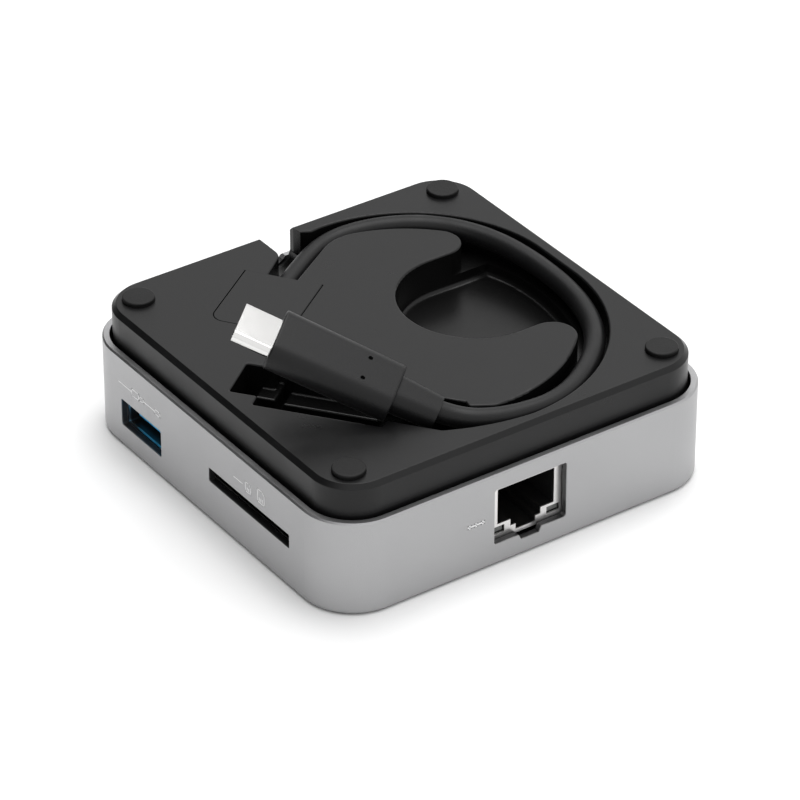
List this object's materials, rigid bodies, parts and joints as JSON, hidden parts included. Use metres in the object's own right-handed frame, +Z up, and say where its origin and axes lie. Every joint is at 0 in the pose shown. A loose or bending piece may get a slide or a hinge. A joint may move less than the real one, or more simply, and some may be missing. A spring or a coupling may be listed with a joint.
{
  "type": "laptop docking station",
  "caption": "Small square aluminium laptop dock lying feet up, with a captive cable wound in its base and ports on three sides.",
  "frame": {"origin": "centre of the aluminium top's outer face, which lies on the table: the bottom centre of the object without its cable and plug", "axes": "+Z up through the base cover and the feet, the object's shortest extent; -Y is the face with the network jack; -X is the face with the type A port and the card slot; +Y is the face with the cable notch"},
  "size_m": [0.08, 0.08, 0.0404],
  "materials": {
    "aluminium": "fine bead-blasted, grey anodised",
    "black_plastic": "fine matt texture",
    "foot_rubber": "smooth matt",
    "screw_steel": "black zinc",
    "board": "green solder mask",
    "chip": "matt",
    "pad": "soft silicone",
    "bright_metal": "tinned sheet",
    "ferrite": "matt",
    "capacitor": "satin",
    "ivory_plastic": "matt",
    "jack_plastic": "matt",
    "light_pipe": "clear, slightly cloudy",
    "contact_gold": "gold plated",
    "blue_plastic": "satin",
    "gland_rubber": "matt",
    "cable_jacket": "satin",
    "plug_plastic": "fine matt",
    "plug_steel": "bright nickel"
  },
  "bodies": {
    "root": {"aluminium_housing": "aluminium", "base_cover": "black_plastic", "cable_cover": "black_plastic", "foot_back_left": "foot_rubber", "foot_front_left": "foot_rubber", "foot_back_right": "foot_rubber", "foot_front_right": "foot_rubber", "base_screws": "screw_steel", "board_screws": "screw_steel", "main_board": "board", "hub_chip": "chip", "thermal_pad": "pad", "network_chip": "chip", "power_chip": "chip", "network_transformer": "chip", "clock_crystal": "bright_metal", "shield_can": "bright_metal", "power_inductors": "ferrite", "capacitors": "capacitor", "cable_connector": "ivory_plastic", "jack_shield": "bright_metal", "jack_body": "jack_plastic", "light_pipe_left": "light_pipe", "light_pipe_right": "light_pipe", "jack_contacts": "contact_gold", "type_a_shell": "bright_metal", "type_a_insulator": "blue_plastic", "type_a_contacts": "contact_gold", "card_socket_body": "jack_plastic", "card_socket_cover": "bright_metal", "card_contacts": "contact_gold", "video_port_shell": "bright_metal", "video_port_insulator": "jack_plastic", "type_c_port_shell": "bright_metal", "type_c_port_insulator": "jack_plastic", "cable_gland": "gland_rubber", "inner_lead": "cable_jacket", "cable": "cable_jacket", "plug_strain_relief": "plug_plastic", "plug_overmold": "plug_plastic", "plug_shell": "plug_steel", "plug_insulator": "jack_plastic"}
  },
  "joints": []
}
